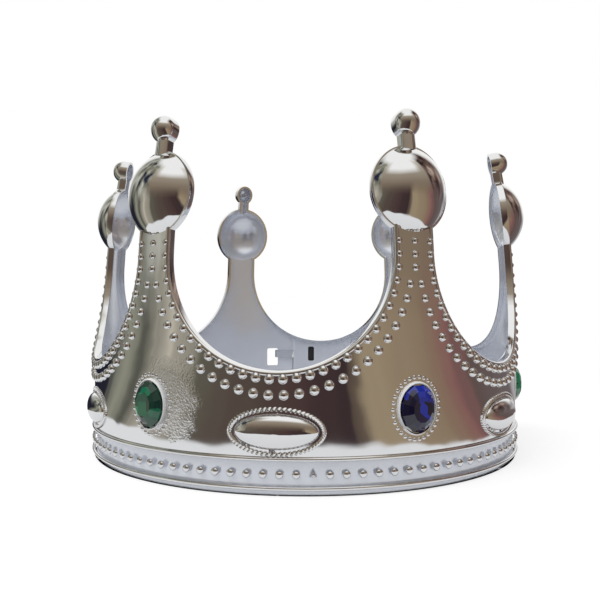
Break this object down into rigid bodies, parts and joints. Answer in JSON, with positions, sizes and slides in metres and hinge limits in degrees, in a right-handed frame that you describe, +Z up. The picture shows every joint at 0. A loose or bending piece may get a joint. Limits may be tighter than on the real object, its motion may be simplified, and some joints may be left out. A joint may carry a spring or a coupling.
{
  "type": "toy crown",
  "caption": "Silver-coloured moulded plastic toy king's crown with domed prongs, bead rows, oval bosses and faceted gems on a round band.",
  "frame": {"origin": "centre of the ring, on the surface that the crown stands on", "axes": "+Z up towards the prongs, front valley towards -Y, closure of the ring at +Y"},
  "size_m": [0.2006, 0.1972, 0.1338],
  "materials": {
    "silver": "vacuum-metallised mirror silver outside, duller satin inside",
    "green_gem": "clear faceted plastic, deep green",
    "blue_gem": "clear faceted plastic, deep blue"
  },
  "bodies": {
    "root": {"crown_band": "silver", "gem_front_right": "blue_gem", "gem_right": "green_gem", "gem_back_right": "blue_gem", "gem_back_left": "green_gem", "gem_left": "blue_gem", "gem_front_left": "green_gem"}
  },
  "joints": []
}
